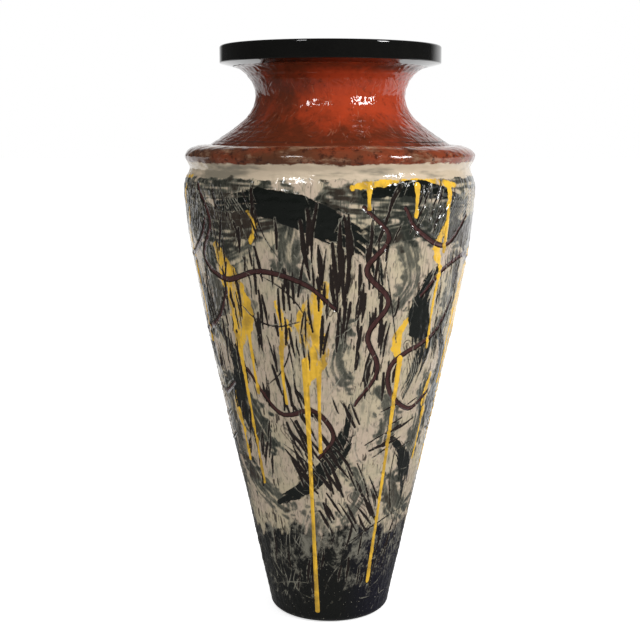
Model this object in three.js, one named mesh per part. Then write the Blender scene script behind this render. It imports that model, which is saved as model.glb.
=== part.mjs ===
// Tall floor vase in glazed stoneware, thrown in seven sections that are luted one on another.
// Millimetres, +Z up. The origin is the centre of the plane that the foot stands on.
// Each seam is a flat seat across the wall with a tapered tongue on the lower section, which
// enters a groove in the section above. The slip between the two fills the seam clearance.

import * as THREE from "three";

// Clay
const wall = 11;
const floorThickness = 14;

// Foot
const footRadius = 97;
const footCornerRadius = 14;
const footRingWidth = 17;
const footRecessDepth = 6;
const footRecessTaper = 4;
const lipAboveFloor = 9;
const floorFilletRadius = 7;

// Body, from the foot to its widest place
const bodySpread = 0.2; // how much the radius grows per millimetre just above the foot
const bodyLowerHandle = 250;
const bodyUpperHandle = 110;
const bellyRadius = 226.7;
const bellyHeight = 679;
const lowerSeamHeight = 250;
const upperSeamHeight = 470;

// Shoulder: a groove, a rolled bead and a narrow ledge
const bellyTopHandle = 24.5;
const grooveDepth = 7.4; // in from the widest place
const grooveRise = 36; // above the widest place
const grooveLowerHandle = 12;
const grooveUpperHandle = 6;
const beadProjection = 6.4; // out from the groove
const beadRise = 18; // of its crest above the groove
const beadHandle = 8;
const ledgeRise = 16.5; // above the bead's crest
const ledgeWidth = 38; // from the bead's crest in to the root of the neck
const beadRound = 31; // how far in from its crest the bead's top is rounded
const flangeThickness = 14;
const flangeEdgeRadius = 4;
const coveRadius = 15;

// Neck
const waistRadius = 116;
const waistRise = 75.5; // above the ledge
const rootAngle = 33; // degrees above level where the neck leaves the ledge
const rootHandle = 48;
const waistHandle = 32;
const flareRise = 43.8; // of the rim's seat above the waist
const flareHandle = 23;
const flareTopHandle = 14;
const flareTopDrop = 1; // of that handle's end below the rim's seat

// Rim
const rimRadius = 171.3;
const rimOverhang = 20.4; // of the rim past the top of the neck
const rimUndersideRise = 4.6; // of its lower edge above the seat on the neck
const rimEdgeHeight = 26.8;
const rimTopWidth = 25;
const rimOuterRound = 3.5;
const rimLowerRound = 1.5;
const mouthRound = 6;
const mouthHandle = 9;

// Seams
const tongueWidth = 4.5;
const tongueHeight = 6;
const tongueTaper = 0.8; // taken off each side at the tip
const seamClearance = 0.3;

// Facets
const facetsAround = 48;

// Heights and radii that follow from the sizes above
const floorTop = footRecessDepth + floorThickness;
const footSeamHeight = floorTop + lipAboveFloor;
const grooveHeight = bellyHeight + grooveRise;
const grooveRadius = bellyRadius - grooveDepth;
const beadHeight = grooveHeight + beadRise;
const beadRadius = grooveRadius + beadProjection;
const ledgeHeight = beadHeight + ledgeRise;
const neckRootRadius = beadRadius - ledgeWidth;
const waistHeight = ledgeHeight + waistRise;
const rimSeatHeight = waistHeight + flareRise;
const neckTopRadius = rimRadius - rimOverhang;
const rimLowerEdge = rimSeatHeight + rimUndersideRise;
const rimTop = rimLowerEdge + rimEdgeHeight;
const mouthRadius = rimRadius - rimTopWidth;

// A point of a profile: how far from the axis, and how high.
const at = (radius, height) => new THREE.Vector2(radius, height);

// The curve that lies a given thickness inside another, on the side of the axis.
class InsideOf extends THREE.Curve {
  constructor(outside, thickness) {
    super();
    this.outside = outside;
    this.thickness = thickness;
  }

  getPoint(t) {
    const along = this.outside.getTangent(t);
    const inward = at(-along.y, along.x);
    return this.outside.getPoint(t).addScaledVector(inward, this.thickness);
  }
}

// Where on a curve that climbs all the way a height is reached.
function placeAtHeight(curve, height) {
  let low = 0;
  let high = 1;
  for (let step = 0; step < 50; step += 1) {
    const middle = (low + high) / 2;
    if (curve.getPoint(middle).y < height) low = middle;
    else high = middle;
  }
  return (low + high) / 2;
}

function radiusAtHeight(curve, height) {
  return curve.getPoint(placeAtHeight(curve, height)).x;
}

// The stretch of a climbing curve between two heights, with its ends exactly on them.
function stretch(curve, lowHeight, highHeight, pieces) {
  const start = placeAtHeight(curve, lowHeight);
  const end = placeAtHeight(curve, highHeight);
  const points = [];
  for (let i = 0; i <= pieces; i += 1) {
    points.push(curve.getPoint(start + ((end - start) * i) / pieces));
  }
  points[0].y = lowHeight;
  points[pieces].y = highHeight;
  return points;
}

// A round of a given radius about a centre, from one angle to another in degrees.
function round(centre, radius, fromDegrees, toDegrees, pieces) {
  const points = [];
  for (let i = 0; i <= pieces; i += 1) {
    const angle = THREE.MathUtils.degToRad(fromDegrees + ((toDegrees - fromDegrees) * i) / pieces);
    points.push(at(centre.x + radius * Math.cos(angle), centre.y + radius * Math.sin(angle)));
  }
  return points;
}

// The top of a section, from its outer face in to its inner face, with the tongue on it.
function tongue(outerRadius, innerRadius, height) {
  const middle = (outerRadius + innerRadius) / 2;
  const half = tongueWidth / 2;
  const tip = half - tongueTaper;
  return [
    at(middle + half, height),
    at(middle + tip, height + tongueHeight),
    at(middle - tip, height + tongueHeight),
    at(middle - half, height),
  ];
}

// The bottom of a section, from its inner face out to its outer face, with the groove in it.
function tongueGroove(outerRadius, innerRadius, height) {
  const middle = (outerRadius + innerRadius) / 2;
  const half = tongueWidth / 2 + seamClearance;
  const tip = half - tongueTaper;
  const depth = tongueHeight + seamClearance;
  return [
    at(middle - half, height),
    at(middle - tip, height + depth),
    at(middle + tip, height + depth),
    at(middle + half, height),
  ];
}

// The outlines that the sections share

// The corner of the foot runs into the body where its slope is the body's own.
const bodySlopeDegrees = THREE.MathUtils.radToDeg(Math.atan(bodySpread));
const footCornerCentre = at(footRadius - footCornerRadius, footCornerRadius);
const footCorner = round(footCornerCentre, footCornerRadius, -90, -bodySlopeDegrees, 4);
const bodyStart = footCorner[footCorner.length - 1];

const bodyOutside = new THREE.CubicBezierCurve(
  bodyStart,
  at(bodyStart.x + bodySpread * bodyLowerHandle, bodyStart.y + bodyLowerHandle),
  at(bellyRadius, bellyHeight - bodyUpperHandle),
  at(bellyRadius, bellyHeight),
);
const bodyInside = new InsideOf(bodyOutside, wall);

const bellyOutside = new THREE.CubicBezierCurve(
  at(bellyRadius, bellyHeight),
  at(bellyRadius, bellyHeight + bellyTopHandle),
  at(grooveRadius, grooveHeight - grooveLowerHandle),
  at(grooveRadius, grooveHeight),
);
const bellyInside = new InsideOf(bellyOutside, wall);

const beadUnderside = new THREE.CubicBezierCurve(
  at(grooveRadius, grooveHeight),
  at(grooveRadius, grooveHeight + grooveUpperHandle),
  at(beadRadius, beadHeight - beadHandle),
  at(beadRadius, beadHeight),
);
const beadTop = new THREE.EllipseCurve(
  beadRadius - beadRound,
  beadHeight,
  beadRound,
  ledgeRise,
  0,
  Math.PI / 2,
);

const rootRadians = THREE.MathUtils.degToRad(rootAngle);
const neckLower = new THREE.CubicBezierCurve(
  at(neckRootRadius, ledgeHeight),
  at(
    neckRootRadius - rootHandle * Math.cos(rootRadians),
    ledgeHeight + rootHandle * Math.sin(rootRadians),
  ),
  at(waistRadius, waistHeight - waistHandle),
  at(waistRadius, waistHeight),
);
const neckUpper = new THREE.CubicBezierCurve(
  at(waistRadius, waistHeight),
  at(waistRadius, waistHeight + flareHandle),
  at(neckTopRadius - flareTopHandle, rimSeatHeight - flareTopDrop),
  at(neckTopRadius, rimSeatHeight),
);
const neckLowerInside = new InsideOf(neckLower, wall);
const neckUpperInside = new InsideOf(neckUpper, wall);
const throatRadius = radiusAtHeight(neckLowerInside, ledgeHeight);
const rimSeatInnerRadius = radiusAtHeight(neckUpperInside, rimSeatHeight);

// The sections, from the ground up. A profile runs up the outside and down the inside.

function footProfile() {
  const outer = radiusAtHeight(bodyOutside, footSeamHeight);
  const inner = radiusAtHeight(bodyInside, footSeamHeight);
  const ringInner = footRadius - footCornerRadius - footRingWidth;
  const fillet = Math.min(floorFilletRadius, lipAboveFloor);
  const filletCentre = at(inner - fillet, floorTop + fillet);
  return [
    at(0, footRecessDepth),
    at(ringInner - footRecessTaper, footRecessDepth),
    at(ringInner, 0),
    ...footCorner,
    ...stretch(bodyOutside, bodyStart.y, footSeamHeight, 1).slice(1),
    ...tongue(outer, inner, footSeamHeight),
    at(inner, footSeamHeight),
    ...round(filletCentre, fillet, 0, -90, 2),
    at(0, floorTop),
  ];
}

// A ring of the body wall between two seams. Its top takes the next section's groove.
function wallProfile(lowHeight, highHeight, pieces) {
  const outside = stretch(bodyOutside, lowHeight, highHeight, pieces);
  const inside = stretch(bodyInside, lowHeight, highHeight, pieces).reverse();
  return [
    ...outside,
    ...tongue(outside[pieces].x, inside[0].x, highHeight),
    ...inside,
    ...tongueGroove(outside[0].x, inside[pieces].x, lowHeight),
  ];
}

// The widest ring turns in above the belly and ends in the groove under the bead.
function upperWallProfile() {
  const outsideLow = stretch(bodyOutside, upperSeamHeight, bellyHeight, 5);
  const outsideHigh = bellyOutside.getPoints(3).slice(1);
  const insideHigh = bellyInside.getPoints(1).reverse();
  const insideLow = stretch(bodyInside, upperSeamHeight, bellyHeight, 4).reverse().slice(1);
  return [
    ...outsideLow,
    ...outsideHigh,
    ...tongue(grooveRadius, grooveRadius - wall, grooveHeight),
    ...insideHigh,
    ...insideLow,
    ...tongueGroove(outsideLow[0].x, insideLow[insideLow.length - 1].x, upperSeamHeight),
  ];
}

function shoulderProfile() {
  const inner = grooveRadius - wall;
  const flangeUnderside = ledgeHeight - flangeThickness;
  const edge = Math.min(flangeEdgeRadius, flangeThickness / 2);
  const cove = Math.min(coveRadius, flangeUnderside - grooveHeight - tongueHeight / 2);
  const edgeCentre = at(throatRadius + edge, flangeUnderside + edge);
  const coveCentre = at(inner - cove, flangeUnderside - cove);
  return [
    ...beadUnderside.getPoints(4),
    ...beadTop.getPoints(6).slice(1),
    at(neckRootRadius, ledgeHeight),
    ...tongue(neckRootRadius, throatRadius, ledgeHeight),
    at(throatRadius, ledgeHeight),
    ...round(edgeCentre, edge, 180, 270, 2),
    ...round(coveCentre, cove, 90, 0, 3),
    at(inner, grooveHeight),
    ...tongueGroove(grooveRadius, inner, grooveHeight),
  ];
}

function neckProfile() {
  const insideUpper = stretch(neckUpperInside, waistHeight, rimSeatHeight, 4).reverse();
  const insideLower = stretch(neckLowerInside, ledgeHeight, waistHeight, 5).reverse();
  return [
    ...neckLower.getPoints(7),
    ...neckUpper.getPoints(6).slice(1),
    ...tongue(neckTopRadius, rimSeatInnerRadius, rimSeatHeight),
    ...insideUpper,
    ...insideLower.slice(1),
    ...tongueGroove(neckRootRadius, throatRadius, ledgeHeight),
  ];
}

function rimProfile() {
  const undersideDegrees = THREE.MathUtils.radToDeg(Math.atan2(rimUndersideRise, rimOverhang));
  const lowerCentre = at(rimRadius - rimLowerRound, rimLowerEdge + rimLowerRound);
  const outerCentre = at(rimRadius - rimOuterRound, rimTop - rimOuterRound);
  const mouthCentre = at(mouthRadius, rimTop - mouthRound);
  const throat = new THREE.CubicBezierCurve(
    at(mouthRadius - mouthRound, rimTop - mouthRound),
    at(mouthRadius - mouthRound, rimTop - mouthRound - mouthHandle),
    at(rimSeatInnerRadius + mouthHandle / 2, rimSeatHeight + mouthHandle),
    at(rimSeatInnerRadius, rimSeatHeight),
  );
  return [
    at(neckTopRadius, rimSeatHeight),
    ...round(lowerCentre, rimLowerRound, undersideDegrees - 90, 0, 2),
    ...round(outerCentre, rimOuterRound, 0, 90, 3),
    ...round(mouthCentre, mouthRound, 90, 180, 3),
    ...throat.getPoints(4).slice(1),
    ...tongueGroove(neckTopRadius, rimSeatInnerRadius, rimSeatHeight),
  ];
}

// Glaze colours
const blackGlaze = { color: 0x0a0a0b, roughness: 0.08 };
const redGlaze = { color: 0x8a2f17, roughness: 0.12 };
const brownGlaze = { color: 0x6b2a17, roughness: 0.12 };
const creamGlaze = { color: 0xbcae9a, roughness: 0.14 };
const darkGlaze = { color: 0x2a2b2c, roughness: 0.14 };

// A named section turned from its profile, which starts and ends on the axis or is closed here.
function section(name, profile, glaze) {
  const onAxis = profile[0].x === 0;
  const outline = onAxis ? profile : [...profile, profile[0]];
  const geometry = new THREE.LatheGeometry(outline, facetsAround);
  const material = new THREE.MeshStandardMaterial({ ...glaze, metalness: 0 });
  const mesh = new THREE.Mesh(geometry, material);
  mesh.name = name;
  mesh.rotation.x = Math.PI / 2;
  return mesh;
}

const vase = new THREE.Group();
vase.add(section("foot", footProfile(), darkGlaze));
vase.add(section("lower_wall", wallProfile(footSeamHeight, lowerSeamHeight, 3), darkGlaze));
vase.add(section("middle_wall", wallProfile(lowerSeamHeight, upperSeamHeight, 4), creamGlaze));
vase.add(section("upper_wall", upperWallProfile(), creamGlaze));
vase.add(section("shoulder", shoulderProfile(), brownGlaze));
vase.add(section("neck", neckProfile(), redGlaze));
vase.add(section("rim", rimProfile(), blackGlaze));

export default vase;
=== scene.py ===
"""A tall glazed stoneware floor vase with a loose abstract decoration, on a white studio floor.

Every section of the vase is a dense turned surface. Its relief and the masks of its decoration are
worked out on one grid that runs over all the sections, so that nothing breaks at a seam.
Lengths are in metres, angles on the vase in degrees from the side that faces the camera (-Y),
growing to the right as the camera sees it.
"""

import math

import bpy
import numpy as np
from mathutils import Matrix, Vector


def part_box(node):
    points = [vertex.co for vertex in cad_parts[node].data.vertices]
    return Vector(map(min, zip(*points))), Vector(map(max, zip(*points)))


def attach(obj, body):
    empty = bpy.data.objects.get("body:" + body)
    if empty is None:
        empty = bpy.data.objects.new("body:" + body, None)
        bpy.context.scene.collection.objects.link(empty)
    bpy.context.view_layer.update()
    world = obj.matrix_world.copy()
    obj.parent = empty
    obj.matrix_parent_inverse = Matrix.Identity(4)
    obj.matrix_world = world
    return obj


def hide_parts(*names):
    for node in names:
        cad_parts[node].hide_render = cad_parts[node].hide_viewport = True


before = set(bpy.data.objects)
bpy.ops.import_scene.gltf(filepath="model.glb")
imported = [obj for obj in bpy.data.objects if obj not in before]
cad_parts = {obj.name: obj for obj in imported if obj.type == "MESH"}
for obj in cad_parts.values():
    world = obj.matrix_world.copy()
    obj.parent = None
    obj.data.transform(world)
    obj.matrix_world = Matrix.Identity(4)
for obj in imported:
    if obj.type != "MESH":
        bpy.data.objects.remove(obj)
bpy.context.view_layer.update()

MM = 0.001

# Fineness of the turned surfaces
COLUMNS = 960
BODY_STEP = 1.6 * MM
NECK_STEP = 1.5 * MM
INSIDE_STEP = 14 * MM

# Clay
WALL = 11 * MM

# Foot
FOOT_RADIUS = 97 * MM
FOOT_CORNER = 14 * MM
FOOT_RING_WIDTH = 17 * MM
FOOT_RECESS = 6 * MM
FOOT_RECESS_TAPER = 4 * MM
FLOOR_TOP = 20 * MM
FLOOR_FILLET = 7 * MM

# Body
BODY_SPREAD = 0.2
BODY_LOWER_HANDLE = 250 * MM
BODY_UPPER_HANDLE = 110 * MM
BELLY_RADIUS = 226.7 * MM
BELLY_HEIGHT = 679 * MM
BELLY_TOP_HANDLE = 24.5 * MM

# Shoulder
GROOVE_RADIUS = BELLY_RADIUS - 7.4 * MM
GROOVE_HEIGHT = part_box("shoulder")[0].z
GROOVE_LOWER_HANDLE = 12 * MM
GROOVE_UPPER_HANDLE = 6 * MM
BEAD_RADIUS = GROOVE_RADIUS + 6.4 * MM
BEAD_HEIGHT = GROOVE_HEIGHT + 18 * MM
BEAD_HANDLE = 8 * MM
BEAD_ROUND = 31 * MM
LEDGE_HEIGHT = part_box("neck")[0].z
NECK_ROOT_RADIUS = BEAD_RADIUS - 38 * MM
FLANGE = 14 * MM

# Neck
WAIST_RADIUS = 116 * MM
WAIST_HEIGHT = LEDGE_HEIGHT + 75.5 * MM
ROOT_ANGLE = math.radians(33)
ROOT_HANDLE = 48 * MM
WAIST_HANDLE = 32 * MM
FLARE_HANDLE = 23 * MM
FLARE_TOP_HANDLE = 14 * MM
FLARE_TOP_DROP = 1 * MM
WHEEL_LINE = 854 * MM

# Rim
RIM_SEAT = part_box("rim")[0].z
RIM_RADIUS = 171.3 * MM
NECK_TOP_RADIUS = RIM_RADIUS - 20.4 * MM
RIM_LOWER_EDGE = RIM_SEAT + 4.6 * MM
RIM_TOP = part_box("rim")[1].z
MOUTH_RADIUS = RIM_RADIUS - 25 * MM
RIM_OUTER_ROUND = 3.5 * MM
RIM_LOWER_ROUND = 1.5 * MM
MOUTH_ROUND = 6 * MM
MOUTH_HANDLE = 9 * MM

# Seams
TONGUE_WIDTH = 4.5 * MM
TONGUE_HEIGHT = 6 * MM
TONGUE_TAPER = 0.8 * MM
SLIP = 0.3 * MM
LOWER_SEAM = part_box("middle_wall")[0].z
UPPER_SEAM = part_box("upper_wall")[0].z
FOOT_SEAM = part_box("lower_wall")[0].z

# The camera, solved from the photograph's ellipses
PHOTO_WIDTH_PX = 640
FOCAL_LENGTH_PX = 1200
AXIS_RIGHT_OF_CENTRE_PX = 10
CAMERA_DISTANCE = 1.899
CAMERA_HEIGHT = 0.773
CAMERA_PITCH_DEG = 9.01
CAMERA_ROLL_DEG = 0.1
SENSOR_MM = 36


# Outlines, as lists of (radius, height)


def bezier(p0, p1, p2, p3, step):
    """A cubic curve in pieces no longer than a step."""
    points = np.array([p0, p1, p2, p3], float)
    length = np.linalg.norm(np.diff(points, axis=0), axis=1).sum()
    t = np.linspace(0, 1, max(2, math.ceil(length / step)) + 1)[:, None]
    weights = np.hstack([(1 - t) ** 3, 3 * (1 - t) ** 2 * t, 3 * (1 - t) * t**2, t**3])
    return weights @ points


def arc(centre, radius, start_deg, end_deg, step, height_scale=1.0):
    """A round about a centre, as an ellipse if its height is scaled."""
    turn = math.radians(abs(end_deg - start_deg))
    pieces = max(3, math.ceil(turn * radius / step))
    angles = np.radians(np.linspace(start_deg, end_deg, pieces + 1))
    return np.stack(
        [
            centre[0] + radius * np.cos(angles),
            centre[1] + radius * height_scale * np.sin(angles),
        ],
        1,
    )


def line(start, end, step):
    pieces = max(1, math.ceil(math.dist(start, end) / step))
    return np.linspace(start, end, pieces + 1)


def joined(*parts):
    """Outlines end to end, without the points that they share."""
    kept = [parts[0]]
    for part in parts[1:]:
        shared = np.allclose(kept[-1][-1], part[0], atol=1e-6)
        kept.append(part[1:] if shared else part)
    return np.vstack(kept)


def inside_of(outline):
    """The outline one wall thickness nearer the axis."""
    along = np.gradient(outline, axis=0)
    along /= np.linalg.norm(along, axis=1)[:, None]
    return outline + WALL * np.stack([-along[:, 1], along[:, 0]], 1)


def between(outline, low, high, step):
    """The stretch of a climbing outline between two heights, in even pieces."""
    lengths = np.concatenate([[0], np.cumsum(np.linalg.norm(np.diff(outline, axis=0), axis=1))])
    start, end = np.interp([low, high], outline[:, 1], lengths)
    at = np.linspace(start, end, max(1, math.ceil((end - start) / step)) + 1)
    found = np.stack([np.interp(at, lengths, outline[:, k]) for k in (0, 1)], 1)
    found[0, 1], found[-1, 1] = low, high
    return found


def tongue(outer, inner, height):
    middle, half = (outer + inner) / 2, TONGUE_WIDTH / 2
    tip = half - TONGUE_TAPER
    return np.array(
        [
            (middle + half, height),
            (middle + tip, height + TONGUE_HEIGHT),
            (middle - tip, height + TONGUE_HEIGHT),
            (middle - half, height),
        ]
    )


def tongue_groove(outer, inner, height):
    middle, half = (outer + inner) / 2, TONGUE_WIDTH / 2 + SLIP
    tip, depth = half - TONGUE_TAPER, TONGUE_HEIGHT + SLIP
    return np.array(
        [
            (middle - half, height),
            (middle - tip, height + depth),
            (middle + tip, height + depth),
            (middle + half, height),
        ]
    )


def outer_outlines():
    """The body, shoulder and neck as the eye sees them, each from the bottom up."""
    slope_deg = math.degrees(math.atan(BODY_SPREAD))
    corner_centre = (FOOT_RADIUS - FOOT_CORNER, FOOT_CORNER)
    corner = arc(corner_centre, FOOT_CORNER, -90, -slope_deg, BODY_STEP)
    start = corner[-1]
    body = bezier(
        start,
        (start[0] + BODY_SPREAD * BODY_LOWER_HANDLE, start[1] + BODY_LOWER_HANDLE),
        (BELLY_RADIUS, BELLY_HEIGHT - BODY_UPPER_HANDLE),
        (BELLY_RADIUS, BELLY_HEIGHT),
        MM,
    )
    belly = bezier(
        (BELLY_RADIUS, BELLY_HEIGHT),
        (BELLY_RADIUS, BELLY_HEIGHT + BELLY_TOP_HANDLE),
        (GROOVE_RADIUS, GROOVE_HEIGHT - GROOVE_LOWER_HANDLE),
        (GROOVE_RADIUS, GROOVE_HEIGHT),
        MM,
    )
    bead_under = bezier(
        (GROOVE_RADIUS, GROOVE_HEIGHT),
        (GROOVE_RADIUS, GROOVE_HEIGHT + GROOVE_UPPER_HANDLE),
        (BEAD_RADIUS, BEAD_HEIGHT - BEAD_HANDLE),
        (BEAD_RADIUS, BEAD_HEIGHT),
        NECK_STEP,
    )
    bead_top = arc(
        (BEAD_RADIUS - BEAD_ROUND, BEAD_HEIGHT),
        BEAD_ROUND,
        0,
        90,
        NECK_STEP,
        (LEDGE_HEIGHT - BEAD_HEIGHT) / BEAD_ROUND,
    )
    neck_lower = bezier(
        (NECK_ROOT_RADIUS, LEDGE_HEIGHT),
        (
            NECK_ROOT_RADIUS - ROOT_HANDLE * math.cos(ROOT_ANGLE),
            LEDGE_HEIGHT + ROOT_HANDLE * math.sin(ROOT_ANGLE),
        ),
        (WAIST_RADIUS, WAIST_HEIGHT - WAIST_HANDLE),
        (WAIST_RADIUS, WAIST_HEIGHT),
        NECK_STEP,
    )
    neck_upper = bezier(
        (WAIST_RADIUS, WAIST_HEIGHT),
        (WAIST_RADIUS, WAIST_HEIGHT + FLARE_HANDLE),
        (NECK_TOP_RADIUS - FLARE_TOP_HANDLE, RIM_SEAT - FLARE_TOP_DROP),
        (NECK_TOP_RADIUS, RIM_SEAT),
        NECK_STEP,
    )
    ledge = line((BEAD_RADIUS - BEAD_ROUND, LEDGE_HEIGHT), (NECK_ROOT_RADIUS, LEDGE_HEIGHT), NECK_STEP)
    return {
        "corner": corner,
        "wall": joined(corner[-1:], body, belly),
        "shoulder": joined(bead_under, bead_top, ledge),
        "neck": joined(neck_lower, neck_upper),
    }


OUTER = outer_outlines()
WALL_INSIDE = inside_of(OUTER["wall"])
NECK_INSIDE = inside_of(OUTER["neck"])
THROAT_RADIUS = float(np.interp(LEDGE_HEIGHT, NECK_INSIDE[:, 1], NECK_INSIDE[:, 0]))
RIM_SEAT_INNER = float(np.interp(RIM_SEAT, NECK_INSIDE[:, 1], NECK_INSIDE[:, 0]))


def radius_at(outline, height):
    return float(np.interp(height, outline[:, 1], outline[:, 0]))


def inner_wall(low, high):
    """The inside of the wall, from the top down."""
    return between(WALL_INSIDE, low, high, INSIDE_STEP)[::-1]


def sections():
    """For each section its name, its outer rows and the rest of its outline.

    The rest runs from the top of the outer rows round to their bottom.
    """
    foot_outer = joined(OUTER["corner"], between(OUTER["wall"], OUTER["wall"][0, 1], FOOT_SEAM, BODY_STEP))
    foot_top_outer, foot_top_inner = foot_outer[-1, 0], radius_at(WALL_INSIDE, FOOT_SEAM)
    ring_inner = FOOT_RADIUS - FOOT_CORNER - FOOT_RING_WIDTH
    fillet_centre = (foot_top_inner - FLOOR_FILLET, FLOOR_TOP + FLOOR_FILLET)
    foot_inner = joined(
        tongue(foot_top_outer, foot_top_inner, FOOT_SEAM),
        np.array([(foot_top_inner, FOOT_SEAM)]),
        arc(fillet_centre, FLOOR_FILLET, 0, -90, 3 * MM),
    )
    foot_under = np.array([(ring_inner - FOOT_RECESS_TAPER, FOOT_RECESS), (ring_inner, 0)])
    yield "foot", foot_outer, foot_inner, foot_under

    for name, low, high in (("lower_wall", FOOT_SEAM, LOWER_SEAM), ("middle_wall", LOWER_SEAM, UPPER_SEAM)):
        outer = between(OUTER["wall"], low, high, BODY_STEP)
        inner = inner_wall(low, high)
        rest = joined(
            tongue(outer[-1, 0], inner[0, 0], high), inner, tongue_groove(outer[0, 0], inner[-1, 0], low)
        )
        yield name, outer, rest, None

    outer = between(OUTER["wall"], UPPER_SEAM, GROOVE_HEIGHT, BODY_STEP)
    inner = inner_wall(UPPER_SEAM, GROOVE_HEIGHT)
    rest = joined(
        tongue(GROOVE_RADIUS, GROOVE_RADIUS - WALL, GROOVE_HEIGHT),
        inner,
        tongue_groove(outer[0, 0], inner[-1, 0], UPPER_SEAM),
    )
    yield "upper_wall", outer, rest, None

    flange_under = LEDGE_HEIGHT - FLANGE
    rest = joined(
        tongue(NECK_ROOT_RADIUS, THROAT_RADIUS, LEDGE_HEIGHT),
        np.array([(THROAT_RADIUS, LEDGE_HEIGHT), (THROAT_RADIUS, flange_under + 2 * MM)]),
        np.array([(THROAT_RADIUS + 2 * MM, flange_under), (GROOVE_RADIUS - WALL - 3 * MM, flange_under)]),
        np.array([(GROOVE_RADIUS - WALL, flange_under - 3 * MM), (GROOVE_RADIUS - WALL, GROOVE_HEIGHT)]),
        tongue_groove(GROOVE_RADIUS, GROOVE_RADIUS - WALL, GROOVE_HEIGHT),
    )
    yield "shoulder", OUTER["shoulder"], rest, None

    neck_inner = between(NECK_INSIDE, LEDGE_HEIGHT, RIM_SEAT, 6 * MM)[::-1]
    rest = joined(
        tongue(NECK_TOP_RADIUS, RIM_SEAT_INNER, RIM_SEAT),
        neck_inner,
        tongue_groove(NECK_ROOT_RADIUS, THROAT_RADIUS, LEDGE_HEIGHT),
    )
    yield "neck", OUTER["neck"], rest, None


def rim_outline():
    """The collar, round its whole section from the top of the neck."""
    under_deg = math.degrees(math.atan2(RIM_LOWER_EDGE - RIM_SEAT, RIM_RADIUS - NECK_TOP_RADIUS))
    lower_centre = (RIM_RADIUS - RIM_LOWER_ROUND, RIM_LOWER_EDGE + RIM_LOWER_ROUND)
    lower = arc(lower_centre, RIM_LOWER_ROUND, under_deg - 90, 0, 0.5 * MM)
    upper = arc((RIM_RADIUS - RIM_OUTER_ROUND, RIM_TOP - RIM_OUTER_ROUND), RIM_OUTER_ROUND, 0, 90, 0.7 * MM)
    mouth = arc((MOUTH_RADIUS, RIM_TOP - MOUTH_ROUND), MOUTH_ROUND, 90, 180, MM)
    throat = bezier(
        (MOUTH_RADIUS - MOUTH_ROUND, RIM_TOP - MOUTH_ROUND),
        (MOUTH_RADIUS - MOUTH_ROUND, RIM_TOP - MOUTH_ROUND - MOUTH_HANDLE),
        (RIM_SEAT_INNER + MOUTH_HANDLE / 2, RIM_SEAT + MOUTH_HANDLE),
        (RIM_SEAT_INNER, RIM_SEAT),
        2 * MM,
    )
    return joined(
        line((NECK_TOP_RADIUS, RIM_SEAT), lower[0], 2 * MM),
        lower,
        line(lower[-1], upper[0], 2 * MM),
        upper,
        line(upper[-1], mouth[0], 2.5 * MM),
        mouth,
        throat,
        tongue_groove(NECK_TOP_RADIUS, RIM_SEAT_INNER, RIM_SEAT),
    )


# The grid of the outer surface


class Skin:
    """The outer surface as rows of heights and columns of angles, with fields to paint on."""

    def __init__(self, outline):
        self.outline = outline
        self.radius, self.height = outline[:, 0], outline[:, 1]
        self.angle = np.arange(COLUMNS) * 360 / COLUMNS - 180
        along = np.gradient(outline, axis=0)
        along /= np.linalg.norm(along, axis=1)[:, None]
        self.normal = np.stack([along[:, 1], -along[:, 0]], 1)
        self.distance = np.concatenate([[0], np.cumsum(np.linalg.norm(np.diff(outline, axis=0), axis=1))])
        self.fields = {}

    def field(self, name, value=0.0):
        return self.fields.setdefault(name, np.full((len(self.radius), COLUMNS), float(value)))

    def window(self, low_deg, high_deg, low, high):
        """Rows and columns that cover a patch. Columns run on past the back."""
        rows = np.flatnonzero((self.height >= low) & (self.height <= high))
        first = math.floor((low_deg + 180) * COLUMNS / 360)
        last = math.ceil((high_deg + 180) * COLUMNS / 360)
        columns = np.arange(first, min(last, first + COLUMNS - 1) + 1)
        return rows, columns, columns * 360 / COLUMNS - 180


def wave_noise(skin, turns, rises, count, seed):
    """A smooth field about 0 with a spread of 1, without a break round the vase."""
    rng = np.random.default_rng(seed)
    total = np.zeros((len(skin.radius), COLUMNS))
    for _ in range(count):
        turn = rng.integers(-turns, turns + 1)
        rise = rng.normal() * rises
        phase = rng.uniform(0, 2 * math.pi)
        total += np.cos(np.radians(skin.angle)[None, :] * turn + skin.distance[:, None] * rise + phase)
    return total / math.sqrt(count / 2)


def smooth_path(points, pieces=9):
    """A curve through points of (angle, height), and how far along it each of its points lies."""
    points = np.array(points, float)
    padded = np.vstack([2 * points[0] - points[1], points, 2 * points[-1] - points[-2]])
    path = []
    for a, b, c, d in zip(padded, padded[1:], padded[2:], padded[3:]):
        for t in np.linspace(0, 1, pieces, endpoint=False):
            curve = 2 * b + (c - a) * t + (2 * a - 5 * b + 4 * c - d) * t**2 + (3 * b - a - 3 * c + d) * t**3
            path.append(0.5 * curve)
    path.append(points[-1])
    return np.array(path)


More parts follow.
